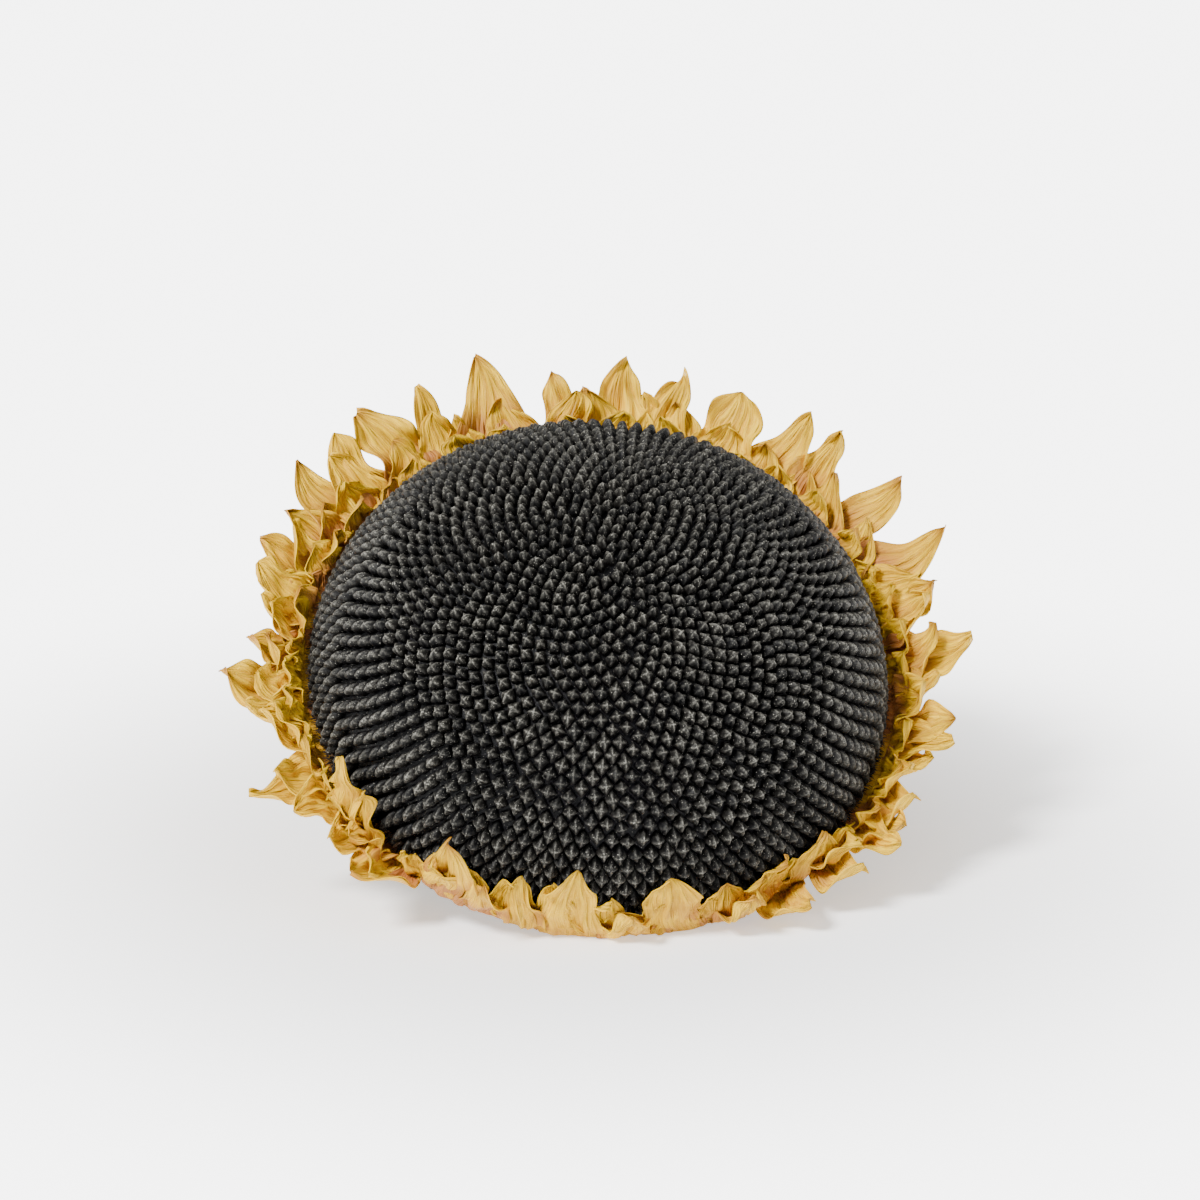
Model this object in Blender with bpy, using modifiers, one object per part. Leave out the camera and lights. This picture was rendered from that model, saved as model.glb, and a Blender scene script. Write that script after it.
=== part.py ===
"""Dried sunflower seed head, lying back on the slanted cut of its stalk.

All sizes below are millimetres. The head is drawn upright: its axis is up, the rim of the
seeds is at height 0, and a bearing of 0 is the side that ends up highest. The whole head is
then leaned back and turned as it lies, and its box is centred on the origin.
"""
import heapq
import math
import random

import bmesh
import bpy
from mathutils import Matrix, Vector
from mathutils.geometry import delaunay_2d_cdt

MM = 0.001

# How the head lies
LEAN = 36.1            # degrees between its axis and straight up
TURN = 8.1             # degrees that it is turned to the right of the viewer
RIM_HEIGHT = 63.1      # middle of the rim circle above the surface

# Seeds: a dome packed full of seeds, drawn larger than life
RIM_R = 100.0
DOME_H = 70.0
SEEDS_ROUND = 72       # seeds in the outermost ring
SEED_STEP = 7.75       # from one seed to the ones that it touches
SEED_RISE = 1.3        # tip of a seed above the dome
SEED_GROOVE = 1.3      # groove between seeds below the dome
SKIRT_R = 98.0
SKIRT_Z = -2.0

# Petals
BLADE = 0.8            # thickness of a petal
HEM = 102.8            # radius to which a petal lies flat under the seeds
ROOT_R = 94.0
OUTER_Z = -3.6
INNER_Z = -2.9
RING_IN, RING_OUT = 91.0, 99.0
RING_TOP, RING_LOW = -2.32, -4.1
RING_SIDES = 48
CLEAR = 4.4            # petals stay this far outside the dome
REST = 0.6             # lowest a petal's middle surface goes above the surface
HEM_SHARE = 0.2        # share of a petal's own length scale that is its flat hem

# bearing, length, width, lift, bend, sway, point (0 round to 1 sharp), cup
PETALS = [
    (347, 50, 25, 24, -16, 2, 0.9, 0.25),
    (0, 41, 15, 20, -10, -3, 0.8, 0.1),
    (3, 33, 13, 30, -14, 4, 0.4, 0.2),
    (9, 46, 22, 22, -14, 6, 0.8, 0.25),
    (18, 44, 18, 26, -18, 4, 0.7, 0.2),
    (31, 43, 23, 26, -12, -4, 0.1, 0.3),
    (39, 48, 21, 22, -16, 3, 0.8, 0.25),
    (48, 47, 18, 24, -12, -4, 0.8, 0.2),
    (57, 48, 21, 22, -16, 5, 0.8, 0.3),
    (68, 49, 24, 20, -14, 6, 0.9, 0.25),
    (90, 41, 25, 22, -10, -4, 0.9, 0.2),
    (99, 29, 20, 60, 16, 2, 0.3, 0.4),
    (107, 34, 19, 30, -24, 3, 0.6, 0.3),
    (118, 28, 18, 56, -20, -4, 0.4, 0.35),
    (129, 32, 18, 30, -14, 6, 0.6, 0.3),
    (139, 30, 17, 36, -10, 4, 0.6, 0.25),
    (150, 33, 19, 40, -6, 6, 0.7, 0.2),
    (161, 34, 17, 66, 30, -4, 0.4, 0.3),
    (172, 38, 22, 96, 20, 3, 0.1, 0.2),
    (181, 30, 18, 72, 20, 0, 0.5, 0.3),
    (192, 42, 22, 98, 24, 0, 0.6, 0.2),
    (201, 36, 14, 92, 24, 3, 0.6, 0.2),
    (209, 33, 19, 76, 20, -3, 0.4, 0.3),
    (217, 42, 20, 92, 16, -4, 0.6, 0.3),
    (228, 36, 22, 34, -6, 0, 0.5, 0.3),
    (235, 38, 14, 88, 20, 2, 0.9, 0.3),
    (241, 44, 17, 84, 16, 4, 0.8, 0.3),
    (251, 40, 20, 18, -10, -4, 0.9, 0.25),
    (262, 30, 17, 54, 10, 3, 0.3, 0.4),
    (272, 40, 24, 20, -10, -3, 0.9, 0.25),
    (284, 30, 18, 46, 6, 3, 0.3, 0.4),
    (299, 38, 21, 22, -14, -4, 0.9, 0.25),
    (313, 45, 22, 22, -18, -4, 0.8, 0.3),
    (321, 44, 18, 22, -14, -5, 0.4, 0.25),
    (329, 46, 22, 28, -16, -4, 0.2, 0.3),
    (337, 45, 16, 24, -16, -3, 0.8, 0.2),
]
INNER_COUNT = 24       # short crumpled petals close against the seeds

# Back: the receptacle narrows to the stalk, with a ring of bracts behind the petals
BACK = [(0, -2.35), (90.6, -2.35), (90.6, -4.45), (97.0, -4.45), (94.0, -7.2), (84.0, -11.5),
        (68.0, -18.0), (50.0, -27.5), (36.0, -39.0), (27.0, -51.0), (22.5, -64.0),
        (21.0, -100.0), (0, -100.0)]
BACK_SIDES = 40
BRACTS = 28
BRACT_ROOT = 90.0      # radius at which a bract leaves the back
BRACT_OUT = 5.0        # how far it runs outwards before it turns down
BRACT_Z = -7.6
BRACT_THICK = 1.0
BRACT_REST = 1.5       # a bract that would reach lower than this is cut short or left out
BRACT_SHORTEST = 8.0
CUTTER_SIZE = 0.4      # metres, the block that cuts the back off flat

TILT = (Matrix.Rotation(math.radians(TURN), 4, "Z")
        @ Matrix.Rotation(math.radians(LEAN), 4, "X"))


def lay(point):
    """The lean and turn of the head as it lies, from the upright head's millimetres."""
    return TILT @ Vector(point) + Vector((0, 0, RIM_HEIGHT))


def make_object(name, bm, collection):
    bmesh.ops.recalc_face_normals(bm, faces=bm.faces)
    mesh = bpy.data.meshes.new(name)
    bm.to_mesh(mesh)
    bm.free()
    obj = bpy.data.objects.new(name, mesh)
    collection.objects.link(obj)
    return obj


def material(name, color, roughness):
    mat = bpy.data.materials.new(name)
    mat.use_nodes = True
    shader = mat.node_tree.nodes["Principled BSDF"]
    shader.inputs["Base Color"].default_value = (*color, 1)
    shader.inputs["Roughness"].default_value = roughness
    return mat


def apply_modifiers(obj):
    graph = bpy.context.evaluated_depsgraph_get()
    mesh = bpy.data.meshes.new_from_object(obj.evaluated_get(graph))
    obj.modifiers.clear()
    obj.data = mesh


def turned(name, profile, closed, sides, collection):
    """A profile of (radius, height), down its outer side, turned round the head's axis."""
    bm = bmesh.new()
    line = [bm.verts.new((r * MM, 0, z * MM)) for r, z in profile]
    nexts = line[1:] + line[:1] if closed else line[1:]
    for a, b in zip(line, nexts):
        bm.edges.new((a, b))
    obj = make_object(name, bm, collection)
    screw = obj.modifiers.new("Turn", "SCREW")
    screw.steps = sides
    screw.render_steps = sides
    screw.use_merge_vertices = True
    screw.merge_threshold = 0.00001
    apply_modifiers(obj)
    obj.data.transform(Matrix.Translation((0, 0, RIM_HEIGHT * MM)) @ TILT)
    return obj


def boolean(obj, operation, operand=None, collection=None):
    mod = obj.modifiers.new("Join", "BOOLEAN")
    mod.operation = operation
    if collection is not None:
        mod.operand_type = "COLLECTION"
        mod.collection = collection
    else:
        mod.object = operand
    apply_modifiers(obj)


def fill_pockets(obj):
    """Crossing petals can close off a tiny pocket; without its own walls it is solid."""
    bm = bmesh.new()
    bm.from_mesh(obj.data)
    left, shells = set(bm.verts), []
    while left:
        shell, queue = set(), [left.pop()]
        while queue:
            v = queue.pop()
            shell.add(v)
            for e in v.link_edges:
                other = e.other_vert(v)
                if other in left:
                    left.discard(other)
                    queue.append(other)
        shells.append(shell)
    shells.sort(key=len)
    for shell in shells[:-1]:
        bmesh.ops.delete(bm, geom=list(shell), context="VERTS")
    bm.to_mesh(obj.data)
    bm.free()


# Seeds

def dome(psi, phi):
    r = RIM_R * math.sin(psi)
    return Vector((r * math.sin(phi), r * math.cos(phi), DOME_H * math.cos(psi)))


def dome_normal(p):
    return Vector((p.x / RIM_R ** 2, p.y / RIM_R ** 2, p.z / DOME_H ** 2)).normalized()


def meeting_place(a, b, step):
    """The place on the dome, nearer the top, one step away from both seeds a and b."""
    pa, pb = a[1], b[1]
    psi = max(min(pa[0], pb[0]) - 0.7 * step / RIM_R, 0.01)
    swing = (pb[1] - pa[1] + math.pi) % (2 * math.pi) - math.pi
    phi = pa[1] + swing / 2
    for _ in range(8):
        p = dome(psi, phi)
        down = Vector((RIM_R * math.cos(psi) * math.sin(phi),
                       RIM_R * math.cos(psi) * math.cos(phi), -DOME_H * math.sin(psi)))
        along = Vector((RIM_R * math.sin(psi) * math.cos(phi),
                        -RIM_R * math.sin(psi) * math.sin(phi), 0))
        da, db = p - a[0], p - b[0]
        fa, fb = da.length_squared - step ** 2, db.length_squared - step ** 2
        a1, a2, b1, b2 = (2 * da.dot(down), 2 * da.dot(along),
                          2 * db.dot(down), 2 * db.dot(along))
        det = a1 * b2 - b1 * a2
        if abs(det) < 1e-9:
            return None
        psi -= max(-0.1, min(0.1, (fa * b2 - fb * a2) / det))
        phi -= max(-0.3, min(0.3, (a1 * fb - b1 * fa) / det))
        psi = min(max(psi, 0.004), math.pi / 2)
    p = dome(psi, phi)
    if abs((p - a[0]).length - step) + abs((p - b[0]).length - step) > 1e-3 * step:
        return None
    if psi > max(pa[0], pb[0]) + 0.02:
        return None
    return psi, phi


def seed_places(count, step):
    """Seeds stacked inwards from the rim: each one touches two that are there already."""
    seeds, buckets, heap = [], {}, []

    def bucket(p):
        return int(p.x // step), int(p.y // step), int(p.z // step)

    def around(p, reach):
        i, j, k = bucket(p)
        steps = range(-reach, reach + 1)
        return [n for a in steps for b in steps for c in steps
                for n in buckets.get((i + a, j + b, k + c), ())]

    def place(psi, phi):
        me = (dome(psi, phi), (psi, phi))
        for n in around(me[0], 2):
            if (seeds[n][0] - me[0]).length < 2 * step:
                found = meeting_place(seeds[n], me, step)
                if found:
                    heapq.heappush(heap, (-found[0], len(heap), found))
        buckets.setdefault(bucket(me[0]), []).append(len(seeds))
        seeds.append(me)

    for k in range(count):
        place(math.radians(88.8), 2 * math.pi * k / count)
    while heap:
        psi, phi = heapq.heappop(heap)[2]
        p = dome(psi, phi)
        if all((seeds[n][0] - p).length > 0.9998 * step for n in around(p, 1)):
            place(psi, phi)
    return [s[1] for s in seeds]


def flat_map_radius():
    """How far out each angle down the dome goes on a flat map that keeps shapes."""
    steps = 2000
    table, total = [0.0] * (steps + 1), 0.0
    for i in range(steps - 1, 0, -1):
        psi = (i + 0.5) / steps * math.pi / 2
        total += (math.hypot(RIM_R * math.cos(psi), DOME_H * math.sin(psi))
                  / (RIM_R * math.sin(psi)) * math.pi / 2 / steps)
        table[i] = total
    return lambda psi: math.exp(-table[max(1, min(steps, round(psi / (math.pi / 2) * steps)))])


def seed_relief(bm):
    spots = seed_places(SEEDS_ROUND, SEED_STEP)
    radius = flat_map_radius()
    flat = [Vector((radius(psi) * math.sin(phi), radius(psi) * math.cos(phi)))
            for psi, phi in spots]
    tips = []
    for psi, phi in spots:
        p = dome(psi, phi)
        tips.append(p + dome_normal(p) * SEED_RISE)
    real = len(tips)
    for k in range(SEEDS_ROUND):
        phi = 2 * math.pi * (k + 0.5) / SEEDS_ROUND
        flat.append(Vector((1.07 * math.sin(phi), 1.07 * math.cos(phi))))
        tips.append(Vector((SKIRT_R * math.sin(phi), SKIRT_R * math.cos(phi), SKIRT_Z)))
    triangles = delaunay_2d_cdt(flat, [], [], 0, 1e-7)[2]
    verts = [bm.verts.new(p) for p in tips]
    sides = {}
    for tri in triangles:
        mid = sum((tips[i] for i in tri), Vector()) / 3
        if all(i < real for i in tri):
            mid = mid - dome_normal(mid) * (SEED_RISE + SEED_GROOVE)
        else:
            mid = mid - Vector((mid.x, mid.y, 0)).normalized() * 0.8
        mid = bm.verts.new(mid)
        for i, j in zip(tri, tri[1:] + tri[:1]):
            sides.setdefault(frozenset((i, j)), []).append(mid)
    edge_of_skirt = []
    for side, mids in sides.items():
        i, j = (verts[n] for n in side)
        if len(mids) == 2:
            bm.faces.new((i, mids[0], mids[1]))
            bm.faces.new((j, mids[1], mids[0]))
        else:
            face = bm.faces.new((i, j, mids[0]))
            edge_of_skirt.append(next(e for e in face.edges if mids[0] not in e.verts))
    bmesh.ops.holes_fill(bm, edges=edge_of_skirt, sides=0)


# Petals and bracts

def outline(v, point):
    """Half width of a petal along its length, 1 at its widest."""
    if v < 0.45:
        return 0.62 + 0.38 * math.sin(v / 0.45 * math.pi / 2)
    t = min((v - 0.45) / 0.55, 1)
    return max((1 - t ** (2.6 - 1.2 * point)) ** (0.62 + 0.3 * point), 0.07)


def petal_point(u, v, spec, level, wave, phase):
    """A place on a petal's middle surface: u goes across from -1 to 1 and v along from 0 to 1."""
    bearing, length, width, lift, bend, sway, point, cup = spec
    hem = HEM - ROOT_R
    r, z, ang = ROOT_R + hem * min(v / HEM_SHARE, 1), level, 0.0
    rest = max(v - HEM_SHARE, 0) / (1 - HEM_SHARE)
    steps = max(1, round(rest * 16))
    for k in range(steps if rest > 0 else 0):
        t = (k + 0.5) / steps * rest
        ang = math.radians(lift * min(t / 0.12, 1) + bend * (t - 0.4))
        r += math.cos(ang) * (length - hem) * rest / steps
        z += math.sin(ang) * (length - hem) * rest / steps
    free = min(rest / 0.25, 1)
    half = 0.5 * width * outline(v, point)
    off = free * (cup * half * (u * u - 0.4)
                  + wave * abs(u) * math.sin(2 * math.pi * (1.3 * v + phase) + 1.3 * u))
    r -= math.sin(ang) * off
    z += math.cos(ang) * off
    t = u * half + math.tan(math.radians(sway)) * rest * length
    b = math.radians(bearing)
    x = r * math.sin(b) + t * math.cos(b)
    y = r * math.cos(b) - t * math.sin(b)
    # stay outside the dome of seeds, and lie on the surface instead of passing through it
    if z > SKIRT_Z - 0.7:
        reach = (RIM_R + CLEAR) * math.sqrt(max(1 - (max(z, 0) / (DOME_H + CLEAR)) ** 2, 0.01))
        out = math.hypot(x, y)
        if out < reach:
            x, y = x * reach / out, y * reach / out
    placed = lay((x, y, z))
    placed.z = max(placed.z, REST)
    return placed


def add_blade(name, collection, across, along, place, thickness):
    bm = bmesh.new()
    bmesh.ops.create_grid(bm, x_segments=across, y_segments=along, size=1)
    bmesh.ops.triangulate(bm, faces=bm.faces, quad_method="FIXED")
    for v in bm.verts:
        row = (v.co.y + 1) / 2 * along     # the first row ends where the flat hem does
        free = max(row - 1, 0) / (along - 1)
        v.co = place(v.co.x, HEM_SHARE * min(row, 1) + (1 - HEM_SHARE) * free)
    bm.normal_update()
    for v in bm.verts:
        v.co += v.normal * thickness / 2
    bm.normal_update()
    bmesh.ops.solidify(bm, geom=bm.faces[:], thickness=thickness)
    bmesh.ops.scale(bm, vec=(MM, MM, MM), verts=bm.verts)
    return make_object(name, bm, collection)


def inner_petals():
    """Short crumpled petals in the gaps, standing closer to the seeds."""
    rng = random.Random(12)
    for k in range(INNER_COUNT):
        bearing = 360 * (k + 0.5 + rng.uniform(-0.2, 0.2)) / INNER_COUNT
        yield (bearing, rng.uniform(20, 27), rng.uniform(12, 16), rng.uniform(46, 72),
               rng.uniform(-20, 24), rng.uniform(-8, 8), rng.uniform(0.1, 0.7), 0.3)


def bract_point(u, v, bearing, length, width, droop):
    r = BRACT_ROOT + BRACT_OUT * min(v / 0.15, 1)
    z = BRACT_Z
    run = max(v - 0.1, 0) * length
    ang = math.radians(-droop)
    r += math.cos(ang) * run
    z += math.sin(ang) * run
    half = 0.5 * width * max(1 - v ** 1.6, 0.08)
    z += 0.12 * half * u * u
    b = math.radians(bearing)
    x = r * math.sin(b) + u * half * math.cos(b)
    y = r * math.cos(b) - u * half * math.sin(b)
    return lay((x, y, z))


def too_low(bearing, length, width, droop):
    return bract_point(0, 1, bearing, length, width, droop).z < BRACT_REST


def main():
    for obj in list(bpy.data.objects):
        bpy.data.objects.remove(obj)
    part = bpy.data.collections.new("Sunflower seed head")
    pieces = bpy.data.collections.new("Pieces to join")
    bracts = bpy.data.collections.new("Bracts to join")
    cutters = bpy.data.collections.new("Cutters")
    for c in (part, pieces, bracts, cutters):
        bpy.context.scene.collection.children.link(c)

    # Seeds
    bm = bmesh.new()
    seed_relief(bm)
    for v in bm.verts:
        v.co = lay(v.co) * MM
    seeds = make_object("seed_disc", bm, part)

    # Petals, joined to the thin ring from which they grow under the rim of the seeds
    rng = random.Random(5)
    for n, spec in enumerate(PETALS):
        wave, phase = rng.uniform(0.8, 1.8), rng.random()
        add_blade(f"petal_{n}", pieces, 2, 6,
                  lambda u, v: petal_point(u, v, spec, OUTER_Z, wave, phase), BLADE)
    for n, spec in enumerate(inner_petals()):
        wave, phase = rng.uniform(0.6, 1.4), rng.random()
        add_blade(f"short_petal_{n}", pieces, 2, 4,
                  lambda u, v: petal_point(u, v, spec, INNER_Z, wave, phase), BLADE)
    ring = [(RING_OUT, RING_TOP), (RING_OUT, RING_LOW), (RING_IN, RING_LOW), (RING_IN, RING_TOP)]
    petals = turned("ray_petals", ring, True, RING_SIDES, part)
    boolean(petals, "UNION", collection=pieces)
    fill_pockets(petals)

    # Back with its bracts, cut off flat where the head rests on it
    rng = random.Random(21)
    for n in range(BRACTS):
        bearing = 360 * (n + rng.uniform(-0.2, 0.2)) / BRACTS
        length, width, droop = rng.uniform(15, 20), rng.uniform(13, 16), rng.uniform(60, 76)
        while length > BRACT_SHORTEST and too_low(bearing, length, width, droop):
            length -= 1
        if too_low(bearing, length, width, droop):
            continue
        add_blade(f"bract_{n}", bracts, 2, 3,
                  lambda u, v: bract_point(u, v, bearing, length, width, droop), BRACT_THICK)
    back = turned("receptacle", BACK, False, BACK_SIDES, part)
    boolean(back, "UNION", collection=bracts)
    bm = bmesh.new()
    bmesh.ops.create_cube(bm, size=CUTTER_SIZE)
    bmesh.ops.translate(bm, vec=(0, 0, -CUTTER_SIZE / 2), verts=bm.verts)
    floor = make_object("floor_cut", bm, cutters)
    floor.hide_render = True
    floor.display_type = "WIRE"
    boolean(back, "DIFFERENCE", operand=floor)

    for group in (pieces, bracts):
        for obj in list(group.objects):
            bpy.data.objects.remove(obj)
        bpy.data.collections.remove(group)

    # Origin: bottom centre of the whole head's box
    nodes = (seeds, petals, back)
    corners = [v.co for obj in nodes for v in obj.data.vertices]
    middle = Vector([(min(c[i] for c in corners) + max(c[i] for c in corners)) / 2
                     for i in (0, 1)] + [min(c[2] for c in corners)])
    for obj in nodes:
        obj.data.transform(Matrix.Translation(-middle))
        obj.data.materials.clear()
    floor.location = -middle
    seeds.data.materials.append(material("Seed", (0.018, 0.017, 0.016), 0.45))
    petals.data.materials.append(material("Petal", (0.62, 0.38, 0.06), 0.7))
    back.data.materials.append(material("Back", (0.22, 0.19, 0.09), 0.8))


main()
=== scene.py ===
"""Dried sunflower seed head, lying back on its cut stalk: seeds, petals, bracts and back."""
import heapq
import math
import random

import bmesh
import bpy
from mathutils import Matrix, Vector, noise


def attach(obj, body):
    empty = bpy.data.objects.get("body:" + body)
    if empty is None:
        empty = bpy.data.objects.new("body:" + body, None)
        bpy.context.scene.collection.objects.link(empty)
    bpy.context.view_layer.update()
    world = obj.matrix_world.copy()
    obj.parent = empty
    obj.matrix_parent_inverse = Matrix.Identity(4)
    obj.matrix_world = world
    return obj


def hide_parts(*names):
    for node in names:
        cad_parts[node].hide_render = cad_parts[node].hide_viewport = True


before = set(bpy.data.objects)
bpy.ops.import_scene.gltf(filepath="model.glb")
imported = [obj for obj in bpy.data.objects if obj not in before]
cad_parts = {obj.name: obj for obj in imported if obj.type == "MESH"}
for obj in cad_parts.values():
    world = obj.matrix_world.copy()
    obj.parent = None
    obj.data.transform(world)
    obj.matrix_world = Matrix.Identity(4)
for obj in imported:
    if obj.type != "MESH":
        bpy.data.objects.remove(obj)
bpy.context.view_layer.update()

# Camera, table and light. The head is seen from a little above through a long lens, on a
# white table, in soft light from all round with a wide lamp high on the left.

VIEW_HEIGHT = 18.0                    # degrees above the horizon
VIEW_FROM = 2.0                       # metres
VIEW_WIDTH = 0.416                    # metres of the scene across the frame, at the head
AIM = Vector((0, -0.0095, 0.0945))    # metres, the middle of the frame
SENSOR = 36                           # mm
TABLE_HALF = 6                        # metres
TABLE_GLOW = 4.0                      # makes the table as white as in a cut-out photograph
PAINTED_SHADOW_GLOW, GLOW_FAR = (0.18, 0.18, 0.18), (1, 1, 1)   # glow weaker near the head, as a painted shadow round it
NEAR, FAR = 0.1, 0.36                 # metres from the middle of the table, over which the painted shadow fades to the full glow
SKY = 0.3

camera = bpy.data.objects.new("Camera", bpy.data.cameras.new("Camera"))
bpy.context.scene.collection.objects.link(camera)
towards_camera = Vector((0, -math.cos(math.radians(VIEW_HEIGHT)),
                         math.sin(math.radians(VIEW_HEIGHT))))
camera.location = AIM + towards_camera * VIEW_FROM
camera.rotation_euler = towards_camera.to_track_quat("Z", "Y").to_euler()
camera.data.sensor_width = SENSOR
camera.data.lens = SENSOR * VIEW_FROM / VIEW_WIDTH
bpy.context.scene.camera = camera


class Value:
    """A shader socket that Python's own operators can do sums with."""

    def __init__(self, tree, socket):
        self.tree, self.socket = tree, socket

    def sum(self, operation, first, second):
        return add_node(self.tree, "ShaderNodeMath", {"operation": operation},
                        {0: first, 1: second})

    def __add__(self, other):
        return self.sum("ADD", self, other)

    def __mul__(self, other):
        return self.sum("MULTIPLY", self, other)

    def __sub__(self, other):
        return self.sum("SUBTRACT", self, other)

    def __rsub__(self, other):
        return self.sum("SUBTRACT", other, self)

    __radd__ = __add__
    __rmul__ = __mul__

    def between(self, low, high):
        """0 below low, 1 above high and smooth in between."""
        return add_node(self.tree, "ShaderNodeMapRange", {"interpolation_type": "SMOOTHSTEP"},
                        {"Value": self, "From Min": low, "From Max": high})


def add_node(tree, kind, settings, sockets, output=0):
    """A node of any kind: its settings first, then what each socket holds or is linked to."""
    node = tree.nodes.new(kind)
    for name, value in settings.items():
        setattr(node, name, value)
    for key, value in sockets.items():
        if isinstance(value, Value):
            tree.links.new(value.socket, node.inputs[key])
        else:
            node.inputs[key].default_value = value
    return Value(tree, node.outputs[output])


class Finish:
    """One material, with its Principled BSDF and the nodes that feed it."""

    def __init__(self, name, **settings):
        self.material = bpy.data.materials.new(name)
        self.material.use_nodes = True
        self.tree = self.material.node_tree
        self.shader = self.tree.nodes["Principled BSDF"]
        for socket, value in settings.items():
            self.shader.inputs[socket.replace("_", " ")].default_value = value

    def node(self, kind, settings=None, output=0, **sockets):
        named = {name.replace("_", " "): value for name, value in sockets.items()}
        return add_node(self.tree, kind, settings or {}, named, output)

    def attribute(self, name):
        return self.node("ShaderNodeAttribute", {"attribute_name": name}, output=2)

    def object_place(self):
        return self.node("ShaderNodeTexCoord", output=3)

    def noise(self, place, scale, detail, distortion=0.0):
        return self.node("ShaderNodeTexNoise", Vector=place, Scale=scale, Detail=detail,
                         Distortion=distortion)

    def mix(self, amount, first, second):
        """A colour between first, at an amount of 0, and second, at 1."""
        first, second = (item if isinstance(item, Value) else (*item, 1)
                         for item in (first, second))
        return add_node(self.tree, "ShaderNodeMix", {"data_type": "RGBA"},
                        {0: amount, 6: first, 7: second}, output=2)

    def feed(self, socket, value):
        self.tree.links.new(value.socket, self.shader.inputs[socket])

    def bump(self, height, distance, strength=1.0):
        self.feed("Normal", self.node("ShaderNodeBump", Height=height, Distance=distance,
                                      Strength=strength))


# The table glows, which is painted light, also on the head from below. The glow is dimmer near
# the head: a painted shadow round it.
table = Finish("White table", Base_Color=(0.95, 0.95, 0.95, 1), Roughness=0.7,
               Specular_IOR_Level=0.1, Emission_Strength=TABLE_GLOW)
far = table.node("ShaderNodeVectorMath", {"operation": "LENGTH"}, output=1,
                 Vector=table.object_place())
table.feed("Emission Color", table.mix(far.between(NEAR, FAR), PAINTED_SHADOW_GLOW, GLOW_FAR))
bm = bmesh.new()
bmesh.ops.create_grid(bm, x_segments=1, y_segments=1, size=TABLE_HALF)
floor_mesh = bpy.data.meshes.new("floor")
bm.to_mesh(floor_mesh)
bm.free()
floor = bpy.data.objects.new("floor", floor_mesh)
floor.data.materials.append(table.material)
bpy.context.scene.collection.objects.link(floor)

world = bpy.data.worlds.new("Studio")
world.use_nodes = True
world.node_tree.nodes["Background"].inputs["Color"].default_value = (1, 1, 1, 1)
world.node_tree.nodes["Background"].inputs["Strength"].default_value = SKY
bpy.context.scene.world = world


def wide_lamp(name, comes_from, strength, spread):
    """A lamp far away that is spread degrees wide, so that its shadows are soft."""
    light = bpy.data.lights.new(name, "SUN")
    light.energy = strength
    light.angle = math.radians(spread)
    obj = bpy.data.objects.new(name, light)
    obj.rotation_euler = Vector(comes_from).to_track_quat("Z", "Y").to_euler()
    bpy.context.scene.collection.objects.link(obj)


wide_lamp("High on the left", comes_from=(-0.7, -0.55, 1.0), strength=7.0, spread=18)
wide_lamp("Overhead", comes_from=(0.4, -0.2, 1.0), strength=0.9, spread=60)

# Seeds: kernels in black husks, packed over a dome. A husk has four ridges that meet in a
# dusty tip, painted paler as its highlight as well, black flanks and a deep gap round it. New
# seeds press in from the rim towards the middle and wedge against two older ones, which gives
# the rows, and the seams between them.

MM = 0.001                            # metres
RIM_R, DOME_H = 100.0, 70.0           # mm, the rim of the disc of seeds and its height
LEAN, TURN = 36.1, 8.1                # degrees from upright, and to the right
HEAD_AT = Vector((-0.56, -4.05, 63.1))   # mm, middle of the rim circle
ROWS = 106                            # rows that meet the rim
RIM_TILT = math.radians(89.2)         # how far down the dome the last seeds are
ROOM_RIM, ROOM_TOP = 26.5, 16.0       # mm2 for one seed, at the rim and at the top
ROOM_LATE = 1.2                       # above 1, the room grows mostly near the rim
PACKED = math.sqrt(3) / 2             # share of its square that a seed takes up when packed
OPEN_BELOW, ROWS_ABOVE = -0.8, -0.4   # height round the rim, from -1 at the front to 1 behind
ROW_GAP = 0.6                         # mm of extra room across, at which rows are complete
SEARCHES = 10                         # rounds of the search for a seed's place
MOST_DOWN, MOST_ROUND = 0.1, 0.3      # radians that one round of the search may move it
MISSES = 4e-3                         # what the search may be off by, as apart counts it
TOUCHING, WITHIN_REACH = 0.995, 4     # as apart counts it
BUCKET = 7.0                          # mm, side of the boxes by which neighbours are looked up
SEED_TALL, SEED_SUNK = 4.4, 2.6       # mm, a seed's height and how much of it is below the dome
OPEN_HALF = 0.53                      # half a seed in the open, as a share of the way to the next
OPEN_LONGEST, OPEN_WIDEST = 1.5, 1.12    # that way at most, in seeds
ROW_HALF_LONG, ROW_HALF_WIDE = 0.86, 0.375   # half a seed in a row, as a share of its room
SWING = 9                             # degrees that a seed in the open may be turned
STEADY = 0.6                          # how much less a seed in a row is turned
SEAM_SLANT = 0.6                      # how far the seams in a row of seeds run aslant
PITH_SUNK = 3.1                       # mm, the floor of the gaps below the dome
PITH_LOW = -2.2                       # mm, underside of the pith
BLACK, BROWN_BLACK = (0.003, 0.003, 0.0035), (0.007, 0.0062, 0.0055)
# grey dusting on the seed tips, which also serves as their painted highlight
DUST_AND_HIGHLIGHT = (0.3, 0.29, 0.25)

# from the upright head, in mm with the middle of the rim circle at 0, to the head as it lies
POSE = (Matrix.Scale(MM, 4) @ Matrix.Translation(HEAD_AT)
        @ Matrix.Rotation(math.radians(TURN), 4, "Z")
        @ Matrix.Rotation(math.radians(LEAN), 4, "X"))


def smooth(x, low, high):
    """0 below low, 1 above high and smooth in between."""
    share = min(max((x - low) / (high - low), 0), 1)
    return share * share * (3 - 2 * share)


def dome(psi, phi):
    """The place on the dome psi down from its top, on bearing phi."""
    r = RIM_R * math.sin(psi)
    return Vector((r * math.sin(phi), r * math.cos(phi), DOME_H * math.cos(psi)))


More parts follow.
